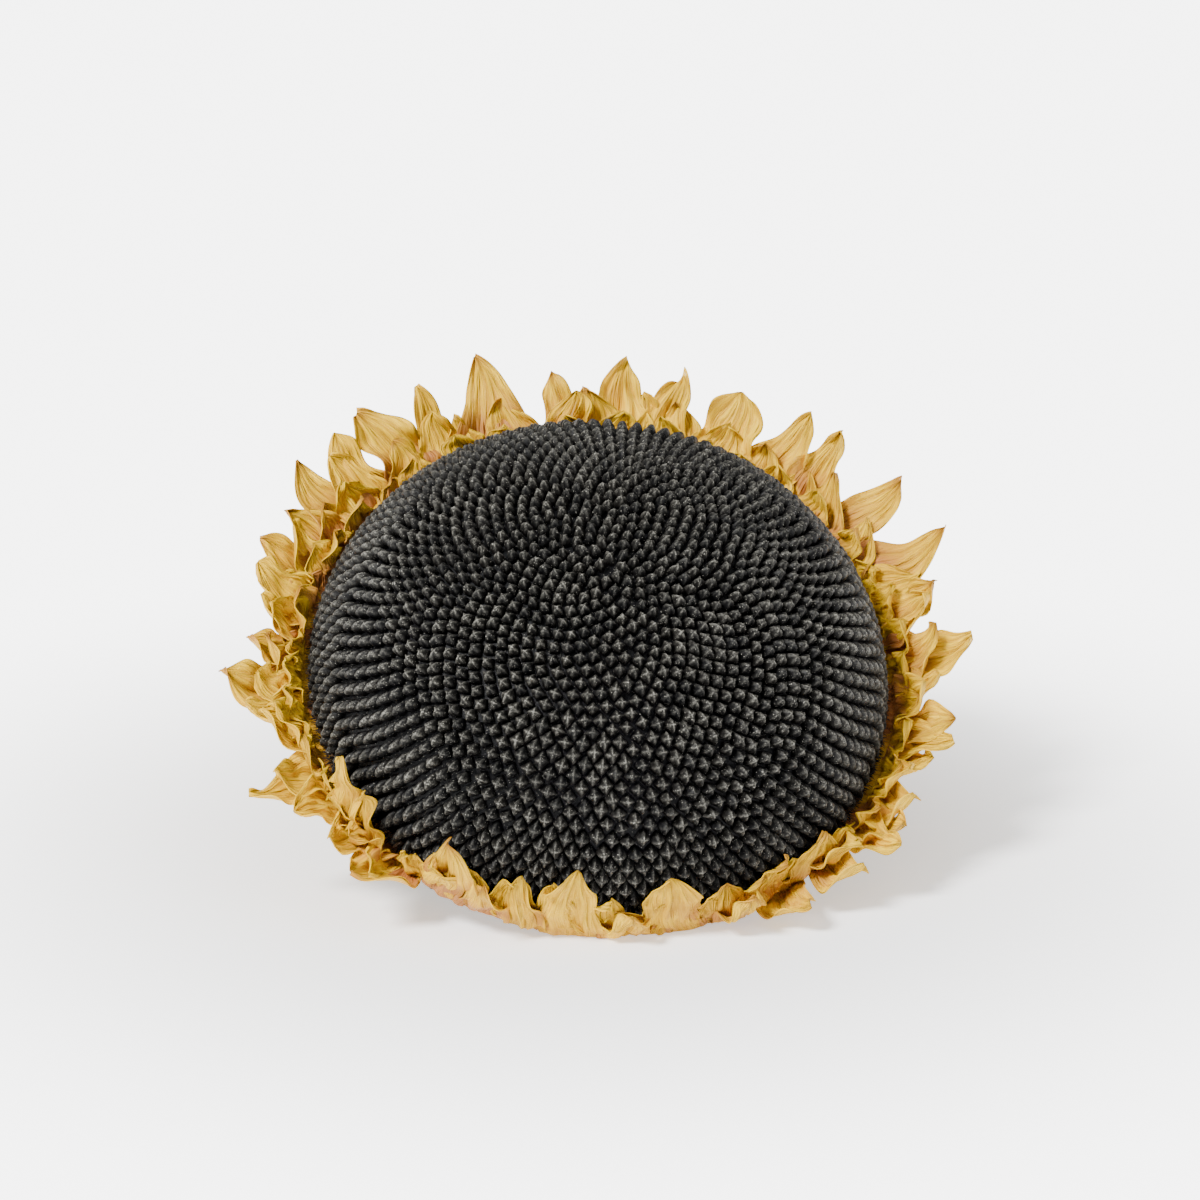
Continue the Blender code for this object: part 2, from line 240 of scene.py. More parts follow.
def dome_normal(p):
    return Vector((p.x / RIM_R ** 2, p.y / RIM_R ** 2, max(p.z, 0) / DOME_H ** 2)).normalized()


def seed_room(psi, phi):
    """How far apart seeds are along their row and across it, and how much in rows they are."""
    room = (ROOM_TOP + (ROOM_RIM - ROOM_TOP) * math.sin(psi) ** ROOM_LATE) / PACKED
    even = math.sqrt(room)
    gap = max(2 * math.pi * RIM_R / ROWS / PACKED * math.sin(psi) - even, 0)
    gap *= smooth(math.cos(phi), OPEN_BELOW, ROWS_ABOVE)
    across = even + gap
    return room / across, across, min(gap / ROW_GAP, 1)


def apart(p, q, along, across):
    """Distance between two seeds, squared and counted in seeds, and how it changes with p."""
    d = p - q
    side = Vector((p.y + q.y, -p.x - q.x, 0))
    side = side.normalized() if side.length > 1e-9 else Vector((1, 0, 0))
    sideways = d.dot(side)
    rest = d - side * sideways
    slope = rest * (2 / along ** 2) + side * (2 * sideways / across ** 2)
    return rest.length_squared / along ** 2 + (sideways / across) ** 2, slope


def meeting_place(a, b):
    """The place on the dome, nearer the top, where a new seed touches both a and b."""
    psi = max(min(a[1], b[1]) - 0.03, 0.01)
    phi = a[2] + ((b[2] - a[2] + math.pi) % (2 * math.pi) - math.pi) / 2
    for _ in range(SEARCHES):
        p = dome(psi, phi)
        along, across, _in_rows = seed_room(psi, phi)
        down = Vector((RIM_R * math.cos(psi) * math.sin(phi),
                       RIM_R * math.cos(psi) * math.cos(phi), -DOME_H * math.sin(psi)))
        round_ = Vector((p.y, -p.x, 0))
        far_a, slope_a = apart(p, a[0], along, across)
        far_b, slope_b = apart(p, b[0], along, across)
        a1, a2 = slope_a.dot(down), slope_a.dot(round_)
        b1, b2 = slope_b.dot(down), slope_b.dot(round_)
        det = a1 * b2 - b1 * a2
        if abs(det) < 1e-9:
            return None
        miss_a, miss_b = far_a - 1, far_b - 1
        psi -= max(-MOST_DOWN, min(MOST_DOWN, (miss_a * b2 - miss_b * a2) / det))
        phi -= max(-MOST_ROUND, min(MOST_ROUND, (a1 * miss_b - b1 * miss_a) / det))
        psi = min(max(psi, 0.004), math.pi / 2)
    if abs(miss_a) + abs(miss_b) > MISSES or psi > max(a[1], b[1]) + 0.02:
        return None
    return psi, phi


def stack_seeds():
    """Every seed as its place, psi and phi, laid from the rim inwards, and a look-up by place."""
    rng = random.Random(3)
    seeds, buckets, heap = [], {}, []

    def bucket(p):
        return tuple(int(c // BUCKET) for c in p)

    def around(p, reach):
        i, j, k = bucket(p)
        steps = range(-reach, reach + 1)
        return [seeds[n] for a in steps for b in steps for c in steps
                for n in buckets.get((i + a, j + b, k + c), ())]

    def lay_seed(psi, phi):
        me = (dome(psi, phi), psi, phi)
        along, across, _in_rows = seed_room(psi, phi)
        for other in around(me[0], 2):
            if apart(me[0], other[0], along, across)[0] < WITHIN_REACH:
                found = meeting_place(other, me)
                if found:
                    heapq.heappush(heap, (-found[0], len(heap), found))
        buckets.setdefault(bucket(me[0]), []).append(len(seeds))
        seeds.append(me)

    for k in range(ROWS):
        phi = 2 * math.pi * (k + rng.uniform(-0.05, 0.05)) / ROWS
        along, _across, in_rows = seed_room(RIM_TILT, phi)
        # every other row starts half a seed further in
        inwards = 0.5 * along / DOME_H * in_rows * (k % 2)
        lay_seed(RIM_TILT - inwards + rng.uniform(-0.002, 0.002), phi)
    while heap:
        psi, phi = heapq.heappop(heap)[2]
        p = dome(psi, phi)
        along, across, _in_rows = seed_room(psi, phi)
        if all(apart(p, other[0], along, across)[0] > TOUCHING for other in around(p, 1)):
            lay_seed(psi, phi)
    return seeds, around


def one_seed():
    """A seed one wide and one tall, as it is in the open and as it is in a tight row.

    The steps go from the tip down: height, reach of a ridge, reach of the hollow between
    two ridges in the open and in a row, and how dusty the ridge and the hollow are, which
    also paints their highlight.
    """
    steps = [(0.97, 0.00, 0.00, 0.00, 1.00, 1.00), (0.91, 0.38, 0.14, 0.30, 0.85, 0.25),
             (0.72, 0.66, 0.38, 0.68, 0.42, 0.03), (0.32, 0.90, 0.68, 0.94, 0.08, 0.00),
             (-0.10, 1.00, 0.80, 1.08, 0.00, 0.00), (-0.30, 0.00, 0.00, 0.00, 0.00, 0.00)]
    raised = (0, 0.02, 0.11, 0.26, 0, 0)     # seeds in a row are fused to an almost level rope
    eighth = math.pi / 4
    bm = bmesh.new()
    bmesh.ops.create_uvsphere(bm, u_segments=8, v_segments=len(steps) - 1, radius=1)
    tip = bm.verts.layers.float.new("tip")
    bm.verts.layers.float.new("tone")
    in_the_open, in_a_row = [], []
    for v in bm.verts:
        ring = round(math.acos(max(-1, min(1, v.co.z))) / math.pi * (len(steps) - 1))
        height, ridge, hollow, hollow_in_row, ridge_dust_and_highlight, hollow_dust_and_highlight = steps[ring]
        turn = round(math.atan2(v.co.y, v.co.x) / eighth)
        across, along = math.cos(turn * eighth), math.sin(turn * eighth)
        on_ridge = turn % 2 == 0
        v[tip] = ridge_dust_and_highlight if on_ridge else hollow_dust_and_highlight
        level = height + raised[ring] * along * along
        for form, share, high in ((in_the_open, ridge if on_ridge else hollow, height),
                                  (in_a_row, ridge if on_ridge else hollow_in_row, level)):
            form.append(Vector((across * share, along * share, high)))
    mesh = bpy.data.meshes.new("one seed")
    bm.to_mesh(mesh)
    bm.free()
    return mesh, in_the_open, in_a_row


def way_to_next(seed, others, direction, most):
    """How far it is to the next seed that lies in this direction, either way."""
    found = most
    for other in others:
        d = other[0] - seed[0]
        if d.length > 0.01 and abs(d.dot(direction)) > 0.9 * d.length:
            found = min(found, d.length)
    return found


def build_seeds(bm):
    mesh, in_the_open, in_a_row = one_seed()
    seeds, around = stack_seeds()
    rng = random.Random(9)
    for seed in seeds:
        p, psi, phi = seed
        along, across, in_rows = seed_room(psi, phi)
        even = math.sqrt(along * across)
        up = dome_normal(p)
        side = Vector((p.y, -p.x, 0)).normalized() if p.xy.length > 0.1 else Vector((1, 0, 0))
        inwards = up.cross(side)
        others = around(p, 1)
        half_long = OPEN_HALF * way_to_next(seed, others, inwards, OPEN_LONGEST * even)
        half_wide = OPEN_HALF * way_to_next(seed, others, side, OPEN_WIDEST * even)
        half_long += (ROW_HALF_LONG * along - half_long) * in_rows
        half_wide += (ROW_HALF_WIDE * across * PACKED - half_wide) * in_rows
        half_long *= rng.uniform(0.94, 1.04)
        half_wide *= rng.uniform(0.94, 1.04)
        tall = SEED_TALL * rng.uniform(0.94, 1.05)
        turned = rng.uniform(-SWING, SWING) * (1 - STEADY * in_rows)
        swing = Matrix.Rotation(math.radians(turned), 3, up)
        side, inwards = swing @ side, swing @ inwards
        leans = rng.uniform(0.0, 0.5) * in_rows + rng.uniform(-0.2, 0.3)
        slant = SEAM_SLANT * in_rows * half_wide
        places = []
        for a, b in zip(in_the_open, in_a_row):
            q = a.lerp(b, in_rows)
            places.extend(p + side * q.x * half_wide
                          + inwards * (q.y * half_long + leans * q.z + slant * q.x)
                          + up * (q.z * tall - SEED_SUNK))
        mesh.vertices.foreach_set("co", places)
        mesh.attributes["tone"].data.foreach_set("value", [rng.random()] * len(in_the_open))
        bm.from_mesh(mesh)
    bpy.data.meshes.remove(mesh)


def build_pith(bm):
    """The dome in which the seeds sit, closed below."""
    made = bmesh.ops.create_uvsphere(bm, u_segments=96, v_segments=64, radius=1)["verts"]
    bmesh.ops.scale(bm, verts=made, vec=(RIM_R - PITH_SUNK, RIM_R - PITH_SUNK,
                                         DOME_H - PITH_SUNK))
    geom = made + list({e for v in made for e in v.link_edges})
    geom += list({f for v in made for f in v.link_faces})
    cut = bmesh.ops.bisect_plane(bm, geom=geom, plane_co=(0, 0, PITH_LOW), plane_no=(0, 0, 1),
                                 clear_inner=True)["geom_cut"]
    bmesh.ops.holes_fill(bm, edges=[e for e in cut if isinstance(e, bmesh.types.BMEdge)])


def dress_piece(name, bm, finishes, node):
    """A finished piece from a mesh that is already in place."""
    for face in bm.faces:
        face.smooth = True
    mesh = bpy.data.meshes.new(name)
    bm.to_mesh(mesh)
    bm.free()
    for finish in finishes:
        mesh.materials.append(finish.material)
    piece = bpy.data.objects.new(name, mesh)
    bpy.context.scene.collection.objects.link(piece)
    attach(piece, "root")
    if node:
        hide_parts(node)
    return piece


def lay(bm):
    """From the upright head's millimetres to metres as it lies."""
    bmesh.ops.transform(bm, matrix=POSE, verts=bm.verts)


husk = Finish("Seed husk", Specular_IOR_Level=0.1)
tip, tone, place = husk.attribute("tip"), husk.attribute("tone"), husk.object_place()
speck = husk.noise(place, 1500.0, 3.0)
patch = husk.noise(place, 40.0, 2.0)
glint = husk.noise(place, 1900.0, 0.0)
# Dusting on the tips and ridges, which is also their painted highlight; the glint specks added to
# it are painted glints.
dust_and_highlight = tip * speck.between(0.3, 0.75) * (tone * 0.6 + 0.4) * (patch * 1.1 + 0.35)
dust_and_highlight = dust_and_highlight + glint.between(0.74, 0.8) * 0.7
husk.feed("Base Color", husk.mix(dust_and_highlight, husk.mix(tone, BLACK, BROWN_BLACK), DUST_AND_HIGHLIGHT))
husk.feed("Roughness", 0.3 + dust_and_highlight * 0.3 + speck * 0.25)
husk.bump(speck, 0.0003, 0.7)

bm = bmesh.new()
build_seeds(bm)
build_pith(bm)
lay(bm)
dress_piece("seeds", bm, [husk], "seed_disc")

# Chaff: the dried remains of tiny flowers, left as a dark fuzzy band where the seeds end and
# the petals begin.

CHAFF_BITS = 2600
CHAFF_BAND = (86.5, 90)               # degrees down the dome
CHAFF_DEEP = 2.6                      # mm, lowest root below the dome
CHAFF_THICK, CHAFF_LONG = (0.3, 0.8), (2.0, 4.2)   # mm
CHAFF_FLAT = 0.5                      # a bit's thickness as a share of its width
CHAFF_ASTRAY = 0.8                    # how far a bit leans away from straight out
CHAFF_DARK, CHAFF_BROWN = (0.012, 0.009, 0.007), (0.075, 0.042, 0.02)


def build_chaff(bm):
    sliver = bmesh.new()
    bmesh.ops.create_cone(sliver, cap_ends=True, segments=4, radius1=0.5, radius2=0.1, depth=1)
    sliver.verts.layers.float.new("tone")
    mesh = bpy.data.meshes.new("one sliver")
    sliver.to_mesh(mesh)
    sliver.free()
    form = [v.co.copy() for v in mesh.vertices]
    rng = random.Random(14)
    for _ in range(CHAFF_BITS):
        phi = rng.uniform(0, 2 * math.pi)
        p = dome(math.radians(rng.uniform(*CHAFF_BAND)), phi)
        p.z -= rng.uniform(0, CHAFF_DEEP)
        astray = Vector([rng.uniform(-CHAFF_ASTRAY, CHAFF_ASTRAY) for _ in range(3)])
        long_way = (dome_normal(p) + astray).normalized()
        turn = long_way.to_track_quat("Z", "Y").to_matrix()
        thick, length = rng.uniform(*CHAFF_THICK), rng.uniform(*CHAFF_LONG)
        places = []
        for co in form:
            places.extend(p + turn @ Vector((co.x * thick, co.y * thick * CHAFF_FLAT,
                                             (co.z + 0.3) * length)))
        mesh.vertices.foreach_set("co", places)
        mesh.attributes["tone"].data.foreach_set("value", [rng.random()] * len(form))
        bm.from_mesh(mesh)
    bpy.data.meshes.remove(mesh)


fuzz = Finish("Chaff", Roughness=0.85, Specular_IOR_Level=0.2)
fuzz.feed("Base Color", fuzz.mix(fuzz.attribute("tone").between(0.35, 1.0),
                                 CHAFF_DARK, CHAFF_BROWN))
bm = bmesh.new()
build_chaff(bm)
lay(bm)
dress_piece("chaff", bm, [fuzz], None)

# Long petals: ray petals gone thin and leathery, creased along their length. They grow from
# under the rim of the seeds. Those below are caught between the head and the table and curl
# up in front of it.

ROOT_R, HEM = 94.0, 102.8             # mm, where a petal is rooted and where its hem ends
HEM_SHARE = 0.2                       # share of a petal's grid that is its flat hem
OUTER_Z = -3.6                        # mm, level of the long petals' hems
CLEAR = 3.2                           # mm that a petal keeps clear of the seeds
CLEAR_ABOVE = -2.7                    # mm, level from which it has to
PETAL_THICK = 0.35                    # mm
PETAL_REST = 0.45                     # mm, lowest that a petal's middle surface lies
BEND_STEPS = 24                       # straight lengths that make a petal's curve
RISEN_BY = 0.12                       # share of its free length where a petal has its full lift
CURLS_FROM = 0.6                      # share of its free length from which its tip curls
CREASED_BY = 0.25                     # share of its free length where its creases are full
WIDEST, ROOT_WIDE = 0.45, 0.62        # where a petal is widest, and its width at the root
NICK_DEEP = 0.12                      # waves in its edge, as a share of its half width
SIDE_HOOK = 3.5                       # mm that tips at the sides turn upwards
# mm and degrees: bearing, length, width, lift, bend, sway, point (0 round to 1 sharp), cup
PETALS = [
    (347, 50, 25, 24, -16, 2, 0.9, 0.25),
    (0, 41, 15, 20, -10, -3, 0.8, 0.1),
    (3, 33, 13, 30, -14, 4, 0.4, 0.2),
    (9, 46, 22, 22, -14, 6, 0.8, 0.25),
    (18, 44, 18, 26, -18, 4, 0.7, 0.2),
    (31, 43, 23, 26, -12, -4, 0.1, 0.3),
    (39, 48, 21, 22, -16, 3, 0.8, 0.25),
    (48, 47, 18, 24, -12, -4, 0.8, 0.2),
    (57, 48, 21, 22, -16, 5, 0.8, 0.3),
    (68, 49, 24, 20, -14, 6, 0.9, 0.25),
    (90, 41, 25, 22, -10, -4, 0.9, 0.2),
    (99, 29, 20, 60, 16, 2, 0.3, 0.4),
    (107, 34, 19, 30, -24, 3, 0.6, 0.3),
    (118, 28, 18, 56, -20, -4, 0.4, 0.35),
    (129, 32, 18, 30, -14, 6, 0.6, 0.3),
    (139, 30, 17, 36, -10, 4, 0.6, 0.25),
    (150, 33, 19, 40, -6, 6, 0.7, 0.2),
    (161, 34, 17, 66, 30, -4, 0.4, 0.3),
    (172, 38, 22, 96, 20, 3, 0.1, 0.2),
    (181, 30, 18, 72, 20, 0, 0.5, 0.3),
    (192, 42, 22, 98, 24, 0, 0.6, 0.2),
    (201, 36, 14, 92, 24, 3, 0.6, 0.2),
    (209, 33, 19, 76, 20, -3, 0.4, 0.3),
    (217, 42, 20, 92, 16, -4, 0.6, 0.3),
    (228, 36, 22, 34, -6, 0, 0.5, 0.3),
    (235, 38, 14, 88, 20, 2, 0.9, 0.3),
    (241, 44, 17, 84, 16, 4, 0.8, 0.3),
    (251, 40, 20, 18, -10, -4, 0.9, 0.25),
    (262, 30, 17, 54, 10, 3, 0.3, 0.4),
    (272, 40, 24, 20, -10, -3, 0.9, 0.25),
    (284, 30, 18, 46, 6, 3, 0.3, 0.4),
    (299, 38, 21, 22, -14, -4, 0.9, 0.25),
    (313, 45, 22, 22, -18, -4, 0.8, 0.3),
    (321, 44, 18, 22, -14, -5, 0.4, 0.25),
    (329, 46, 22, 28, -16, -4, 0.2, 0.3),
    (337, 45, 16, 24, -16, -3, 0.8, 0.2),
]


class Creases:
    """What makes each petal its own: its folds, pleats, ruffled edge, twist and curled tip."""

    def __init__(self, rng):
        self.folds = [(rng.uniform(-0.8, 0.8), rng.uniform(0.1, 0.2),
                       rng.choice((-1, 1)) * rng.uniform(0.9, 2.0)) for _ in range(5)]
        self.pleats, self.pleat_tall = rng.uniform(4.0, 6.5), rng.uniform(0.9, 1.6)
        self.ruffles, self.ruffle_tall = rng.uniform(12, 20), rng.uniform(1.3, 2.7)
        self.crumple = rng.uniform(0.8, 1.6)
        self.twist = math.radians(rng.uniform(-26, 26))
        self.curl = math.radians(rng.uniform(-38, 38))
        self.hook = rng.uniform(-2.5, 2.5)
        self.nicks = rng.uniform(8, 14)
        self.start = rng.uniform(0, 6.28)

    def lift(self, u, v):
        """How far the creases raise the petal, in mm."""
        up = self.pleat_tall * abs(math.sin(self.pleats * u + self.start)) * max(1 - v, 0.15)
        for middle, wide, tall in self.folds:
            # the folds draw together towards the tip
            line = middle * (1.05 - 0.7 * v) + 0.06 * math.sin(5 * v + self.start)
            up += tall * math.exp(-abs(u - line) / wide) * math.sin(math.pi * min(v + 0.1, 1))
        up += self.crumple * noise.noise(Vector((2.4 * u, 6.5 * v, 10 * self.start)))
        up += self.ruffle_tall * abs(u) ** 3 * math.sin(self.ruffles * v + self.start + 2 * u)
        return up


def outline(v, point):
    """Half width of a petal along its length, 1 at its widest."""
    if v < WIDEST:
        return ROOT_WIDE + (1 - ROOT_WIDE) * math.sin(v / WIDEST * math.pi / 2)
    t = min((v - WIDEST) / (1 - WIDEST), 1)
    return max((1 - t ** (2.6 - 1.2 * point)) ** (0.62 + 0.3 * point), 0.02)


def petal_point(u, v, spec, level, wave, phase, creases):
    """A place on a petal, in the upright head's millimetres: u goes across, v along."""
    bearing, length, width, lift, bend, sway, point, cup = spec
    hem = HEM - ROOT_R
    r, z, ang = ROOT_R + hem * min(v / HEM_SHARE, 1), level, 0.0
    rest = max(v - HEM_SHARE, 0) / (1 - HEM_SHARE)
    steps = max(1, round(rest * BEND_STEPS)) if rest > 0 else 0
    for k in range(steps):
        t = (k + 0.5) / steps * rest
        ang = math.radians(lift * min(t / RISEN_BY, 1) + bend * (t - 0.4))
        ang += creases.curl * max((t - CURLS_FROM) / (1 - CURLS_FROM), 0) ** 2
        r += math.cos(ang) * (length - hem) * rest / steps
        z += math.sin(ang) * (length - hem) * rest / steps
    free = min(rest / CREASED_BY, 1)
    nick = 1 + NICK_DEEP * math.sin(creases.nicks * v + 3 * u)
    half = 0.5 * width * outline(v, point) * nick
    turn = creases.twist * rest ** 2
    off = free * (cup * half * (u * u - 0.4)
                  + wave * abs(u) * math.sin(2 * math.pi * (1.3 * v + phase) + 1.3 * u)
                  + creases.lift(u, v)) + math.sin(turn) * u * half
    r -= math.sin(ang) * off
    z += math.cos(ang) * off
    t = math.cos(turn) * u * half + math.tan(math.radians(sway)) * rest * length
    b = math.radians(bearing)
    hook = creases.hook - SIDE_HOOK * math.sin(b)
    t += free * (1.3 * math.sin(7 * v + 11 * phase) + hook * max(rest - 0.5, 0) ** 2 * 4)
    x = r * math.sin(b) + t * math.cos(b)
    y = r * math.cos(b) - t * math.sin(b)
    if z > CLEAR_ABOVE:
        tall = DOME_H + CLEAR
        reach = (RIM_R + CLEAR) * math.sqrt(max(1 - (max(z, 0) / tall) ** 2, 0.01))
        reach += 0.25 * free * off
        out = math.hypot(x, y)
        if out < reach:
            x, y = x * reach / out, y * reach / out
    return Vector((x, y, z))


def leafy_mesh():
    """An empty mesh for blades, with a shade for each and coordinates across and along it."""
    bm = bmesh.new()
    bm.verts.layers.float.new("tone")
    bm.loops.layers.uv.new("UVMap")
    return bm


def add_blade(bm, across, along, point_at, shade):
    """One petal or bract as a grid of across by along faces, laid out by point_at(u, v)."""
    uv = bm.loops.layers.uv["UVMap"]
    tone = bm.verts.layers.float["tone"]
    made = bmesh.ops.create_grid(bm, x_segments=across, y_segments=along, size=1,
                                 calc_uvs=False)["verts"]
    spots = {v: (v.co.x, (v.co.y + 1) / 2) for v in made}
    for face in {f for v in made for f in v.link_faces}:
        for loop in face.loops:
            u, v = spots[loop.vert]
            loop[uv].uv = ((u + 1) / 2, v)
    for v in made:
        v.co = POSE @ point_at(*spots[v])
        v[tone] = shade
        # what would pass through the table lies on it instead
        v.co.z = max(v.co.z, PETAL_REST * MM)


def add_petals(bm, specs, across, along, waves, levels, rng, own):
    """Petals from their specs, each with a wave, creases and shade of its own."""
    for n, spec in enumerate(specs):
        wave, phase = rng.uniform(*waves), rng.random()
        creases = Creases(own)
        level = levels[n % len(levels)]
        add_blade(bm, across, along,
                  lambda u, v: petal_point(u, v, spec, level, wave, phase, creases),
                  own.random())


def petal_finish(name, gold, deep, root, blush, tip):
    """Golden and satiny, with painted shade in its creases, brown at the root with painted shade
    by the seeds, pink in places.
    """
    finish = Finish(name, Specular_IOR_Level=0.2)
    uv = finish.node("ShaderNodeUVMap", {"uv_map": "UVMap"})
    along = finish.node("ShaderNodeSeparateXYZ", output=1, Vector=uv)
    shade, place = finish.attribute("tone"), finish.object_place()
    stretched = finish.node("ShaderNodeMapping", Vector=uv, Scale=(34.0, 1.4, 1.0))
    veins = finish.noise(stretched, 1.0, 3.0, 0.6)
    wider = finish.node("ShaderNodeMapping", Vector=uv, Scale=(6.0, 1.5, 1.0))
    creased = finish.noise(wider, 1.0, 2.0, 1.4)
    cloud = finish.noise(place, 60.0, 3.0)
    weave = finish.noise(place, 2200.0, 1.0)
    body = finish.mix(0.66 + veins.between(0.34, 0.6) * 0.34, deep, gold)
    # painted shade: darker where the creases sink, from the same noise that bumps them
    body = finish.mix((1 - creased.between(0.36, 0.54)) * 0.5, body, deep)
    # pale gold specks: fibres of the petal, and painted glints as well
    body = finish.mix(weave.between(0.52, 0.72) * 0.3, body, THREAD_AND_GLINT)
    body = finish.mix(cloud.between(0.45, 0.75) * 0.4, body, deep)
    # brown towards the root: the petal's own colour, darkened further as painted shade where it
    # meets the seeds
    body = finish.mix((1 - along.between(0.12, 0.6)) * 0.62, body, root)
    low = (1 - along.between(0.4, 0.8)) * (cloud * 1.8 + shade * 0.8).between(1.25, 1.5)
    body = finish.mix(low * 0.85, body, blush)
    edge = along.between(0.84, 1.0) * (shade - 0.55).between(0.0, 0.25)
    finish.feed("Base Color", finish.mix(edge * 0.6, body, tip))
    finish.feed("Roughness", 0.36 + veins * 0.2)
    finish.bump(creased * 3.0 + veins * 0.4 + weave * 0.15 + cloud * 0.5, 0.0014)
    return finish


THREAD_AND_GLINT = (0.92, 0.68, 0.16)           # pale gold of the finest fibres, which also paints glints
petal_face = petal_finish("Petal face", gold=(0.95, 0.59, 0.008), deep=(0.54, 0.225, 0.006),
                          root=(0.34, 0.125, 0.015), blush=(0.36, 0.11, 0.035),
                          tip=(0.34, 0.085, 0.025))
petal_back = petal_finish("Petal back", gold=(0.86, 0.53, 0.012), deep=(0.53, 0.25, 0.008),
                          root=(0.42, 0.18, 0.02), blush=(0.4, 0.145, 0.04),
                          tip=(0.36, 0.105, 0.03))


def give_thickness(piece, thick):
    """Walls of thick mm, in which a second material takes the underside and the edge."""
    solid = piece.modifiers.new("Thickness", "SOLIDIFY")
    solid.thickness = thick * MM
    solid.offset = 0
    if len(piece.data.materials) > 1:
        solid.material_offset = 1
        solid.material_offset_rim = 1


bm = leafy_mesh()
add_petals(bm, PETALS, 24, 40, (0.8, 1.8), (OUTER_Z,), random.Random(5), random.Random(31))
long_petals = dress_piece("long_petals", bm, [petal_face, petal_back], "ray_petals")
give_thickness(long_petals, PETAL_THICK)

# Short petals: a collar of shorter, crumpled petals close against the seeds, which fills the
# gaps between the long ones all the way round.

COLLAR_COUNT = 88
COLLAR_LEVELS = (-2.9, -3.35)         # mm, of the hems in turn, one over the other
OUTSTANDING = (27, 34), (24, 42)      # mm and degrees, length and lift of a petal that stands out
CLOSE = (19, 25), (46, 74)            # the same of one close to the seeds
UPRIGHT = 100                         # degrees of lift under the head, where the table pushes
LIFTED_FROM, LIFTED_TO = 0.6, 0.88    # how far round to the front it begins and ends to push
# in gaps between long ones; bearing, length, width, lift, bend, sway, point, cup
IN_GAPS = [(317.5, 38, 21, 22, -12, 1, 0.5, 0.3), (306, 36, 19, 24, -12, -2, 0.7, 0.3),
           (291, 35, 20, 28, -8, 2, 0.5, 0.3), (278, 31, 19, 26, -8, 2, 0.6, 0.3),
           (265, 32, 18, 28, -6, 0, 0.6, 0.3), (79, 36, 20, 28, -10, -2, 0.7, 0.3)]


def collar():
    """Two to a place: a longer one that stands out, and a shorter one close to the seeds."""
    rng = random.Random(12)
    for k in range(COLLAR_COUNT):
        bearing = 360 * (k + 0.5 + rng.uniform(-0.4, 0.4)) / COLLAR_COUNT
        lengths, lifts = OUTSTANDING if k % 2 else CLOSE
        length, lift = rng.uniform(*lengths), rng.uniform(*lifts)
        lift += (UPRIGHT - lift) * smooth(-math.cos(math.radians(bearing)),
                                          LIFTED_FROM, LIFTED_TO)
        yield (bearing, length, rng.uniform(16, 22), lift,
               rng.uniform(-20, 16), rng.uniform(-10, 10), rng.uniform(0.1, 0.9), 0.3)
    yield from IN_GAPS


bm = leafy_mesh()
add_petals(bm, collar(), 16, 22, (0.6, 1.4), COLLAR_LEVELS, random.Random(6), random.Random(32))
short_petals = dress_piece("short_petals", bm, [petal_face, petal_back], None)
give_thickness(short_petals, PETAL_THICK)

# Back: the fleshy underside of the head, dried hard, ribbed and wrinkled. It narrows to the
# stalk, which is cut on the slant so that the head rests on the cut.

# mm, radius and height from the rim down
BACK = [(97.0, -4.45), (94.0, -7.2), (84.0, -11.5), (68.0, -18.0), (50.0, -27.5),
        (36.0, -39.0), (27.0, -51.0), (22.5, -64.0), (21.0, -100.0)]
BACK_TOP = BACK[0][1]
BACK_SIDES, BACK_STEPS = 160, 7
RIBS, RIB_DEEP = 11, 2.4              # round the neck, and mm
NECK_FROM, NECK_BY = 10, 50           # mm below the rim, where the ribs begin and are full
WRINKLE_DEEP = 1.5                    # mm
RIND_LIGHT, RIND_DARK = (0.2, 0.14, 0.05), (0.1, 0.08, 0.028)
RIND_SPOTS = (0.06, 0.038, 0.016)


def softened(points, steps):
    """A smooth line through points, steps places to each stretch."""
    ends = [points[0]] + points + [points[-1]]
    for a, b, c, d in zip(ends, ends[1:], ends[2:], ends[3:]):
        for k in range(steps):
            t = k / steps
            yield tuple(0.5 * (2 * q + (r - p) * t + (2 * p - 5 * q + 4 * r - s) * t ** 2
                               + (3 * q - p - 3 * r + s) * t ** 3)
                        for p, q, r, s in zip(a, b, c, d))
    yield points[-1]


bm = bmesh.new()
profile = [(0, BACK_TOP)] + list(softened(BACK, BACK_STEPS)) + [(0, BACK[-1][1])]
line = [bm.verts.new((r, 0, z)) for r, z in profile]
edges = [bm.edges.new(pair) for pair in zip(line, line[1:])]
bmesh.ops.spin(bm, geom=line + edges, cent=(0, 0, 0), axis=(0, 0, 1), angle=2 * math.pi,
               steps=BACK_SIDES, use_merge=True)
bmesh.ops.remove_doubles(bm, verts=bm.verts, dist=1e-3)
for v in bm.verts:
    out = v.co.xy.length
    if v.co.z < BACK_TOP - 0.5 and out > 1:
        phi = math.atan2(v.co.x, v.co.y)
        towards_neck = smooth(-v.co.z, NECK_FROM, NECK_BY)
        rib = 0.5 + 0.5 * math.cos(RIBS * phi + 0.6 * math.sin(3 * phi))
        wrinkle = noise.fractal(Vector((6 * math.sin(phi), 6 * math.cos(phi), v.co.z / 30)),
                                1.0, 2.0, 3)
        sunk = RIB_DEEP * towards_neck * rib + WRINKLE_DEEP * wrinkle
        v.co.xy *= 1 - sunk / out
bmesh.ops.recalc_face_normals(bm, faces=bm.faces)
lay(bm)
cut = bmesh.ops.bisect_plane(bm, geom=bm.verts[:] + bm.edges[:] + bm.faces[:],
                             plane_co=(0, 0, 0), plane_no=(0, 0, 1), clear_inner=True)
bmesh.ops.holes_fill(bm, edges=[e for e in cut["geom_cut"] if isinstance(e, bmesh.types.BMEdge)])

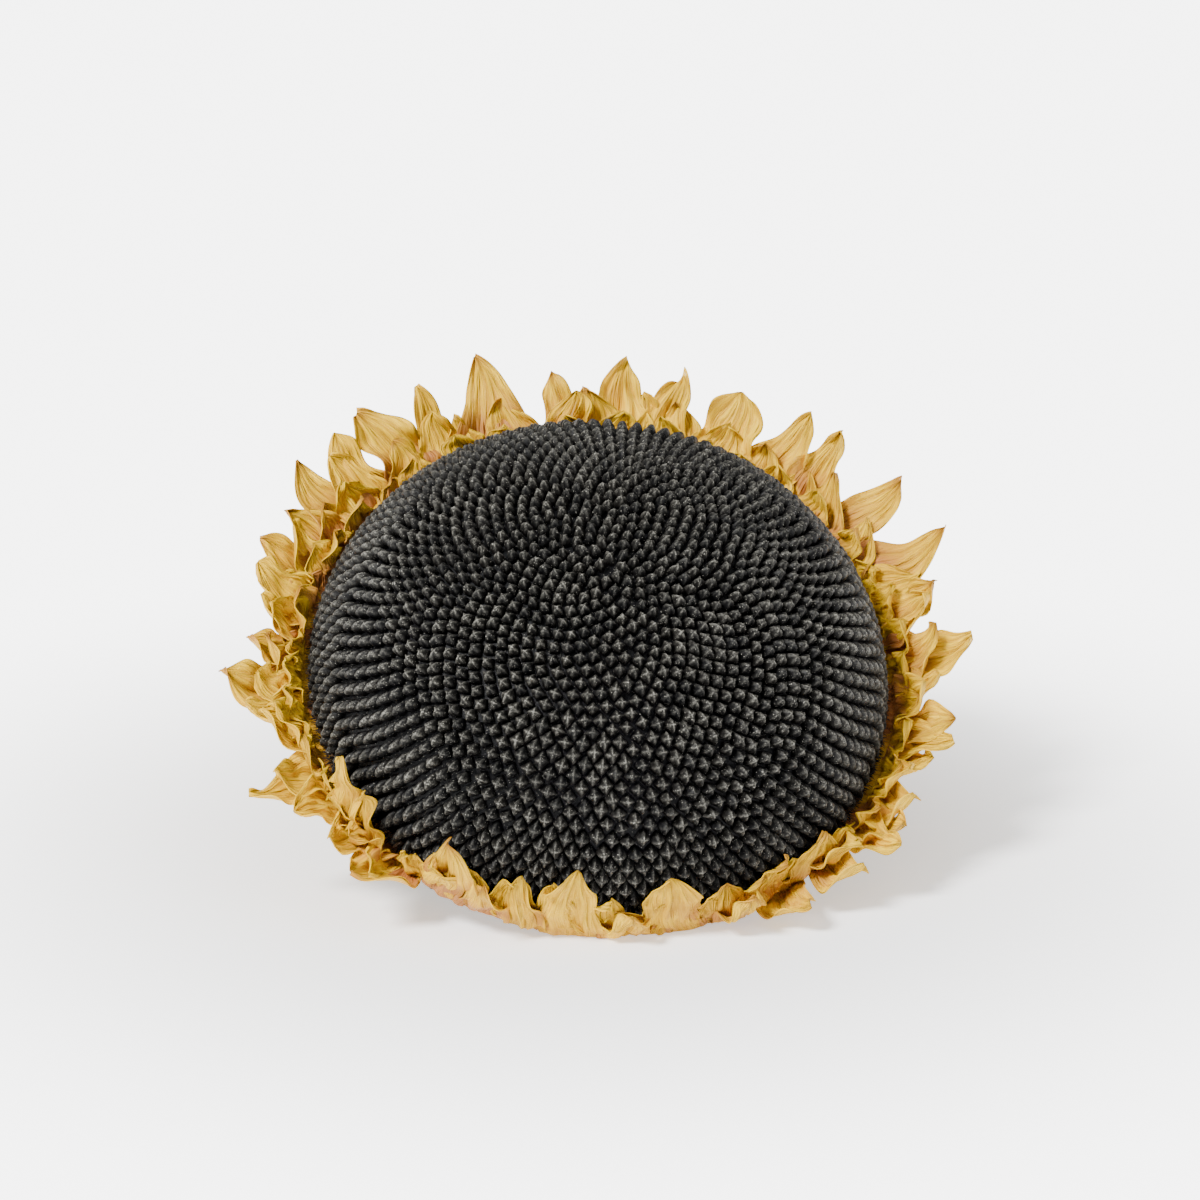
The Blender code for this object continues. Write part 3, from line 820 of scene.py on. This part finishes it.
rind = Finish("Back rind", Roughness=0.78, Specular_IOR_Level=0.25)
place = rind.object_place()
cloud = rind.noise(place, 38.0, 4.0)
grain = rind.noise(place, 420.0, 4.0)
body = rind.mix(cloud.between(0.38, 0.64), RIND_LIGHT, RIND_DARK)
rind.feed("Base Color", rind.mix(grain.between(0.48, 0.7) * 0.75, body, RIND_SPOTS))
rind.bump(grain * 0.7 + cloud, 0.002, 0.9)
dress_piece("back", bm, [rind], "receptacle")

# Bracts: two rings of small pointed leaves that grow from the edge of the back, dried
# olive-brown and folded backwards. Those that would reach the table are missing.

BRACTS, BRACT_THICK = 28, 0.8         # in each ring, and mm
BRACT_RINGS = ((90.0, -7.6, 0.0), (84.0, -9.8, 0.5))   # mm and mm, root and level, and turn
BRACT_OUT = 5.0                       # mm that a bract runs outwards before it folds back
BRACT_REST = 1.5                      # mm above the table that its tip has to stay
BRACT_OLIVE, BRACT_BROWN = (0.15, 0.125, 0.035), (0.22, 0.14, 0.05)
BRACT_VEINS = (0.08, 0.05, 0.018)


def bract_point(u, v, bearing, length, width, droop, root, low):
    """A place on a bract, in the upright head's millimetres: u goes across, v along."""
    run = max(v - 0.1, 0) * length
    ang = math.radians(-droop - 22 * v ** 2)
    r = root + BRACT_OUT * min(v / 0.15, 1) + math.cos(ang) * run
    z = low + math.sin(ang) * run
    half = 0.5 * width * max(1 - v ** 1.6, 0.04)
    z += 0.16 * half * u * u - 0.35 * math.exp(-(u / 0.15) ** 2)     # cupped, with a midrib
    z += 0.3 * math.sin(9 * v + bearing) * abs(u)
    b = math.radians(bearing)
    return Vector((r * math.sin(b) + u * half * math.cos(b),
                   r * math.cos(b) - u * half * math.sin(b), z))


bm = leafy_mesh()
for ring, (root, low, shift) in enumerate(BRACT_RINGS):
    rng = random.Random(21 + ring)
    for n in range(BRACTS):
        bearing = 360 * (n + shift + rng.uniform(-0.2, 0.2)) / BRACTS
        length, width, droop = rng.uniform(17, 23), rng.uniform(17, 21), rng.uniform(58, 76)
        shade = rng.random()
        tip = POSE @ bract_point(0, 1, bearing, length, width, droop, root, low)
        if tip.z > BRACT_REST * MM:
            add_blade(bm, 8, 12,
                      lambda u, v: bract_point(u, v, bearing, length, width, droop, root, low),
                      shade)

leaf = Finish("Bract", Roughness=0.7, Specular_IOR_Level=0.25)
uv = leaf.node("ShaderNodeUVMap", {"uv_map": "UVMap"})
veins = leaf.noise(leaf.node("ShaderNodeMapping", Vector=uv, Scale=(20.0, 2.0, 1.0)), 1.0, 3.0)
body = leaf.mix(leaf.attribute("tone"), BRACT_OLIVE, BRACT_BROWN)
leaf.feed("Base Color", leaf.mix(veins.between(0.45, 0.7), body, BRACT_VEINS))
leaf.bump(veins, 0.0008, 0.7)
give_thickness(dress_piece("bracts", bm, [leaf], None), BRACT_THICK)
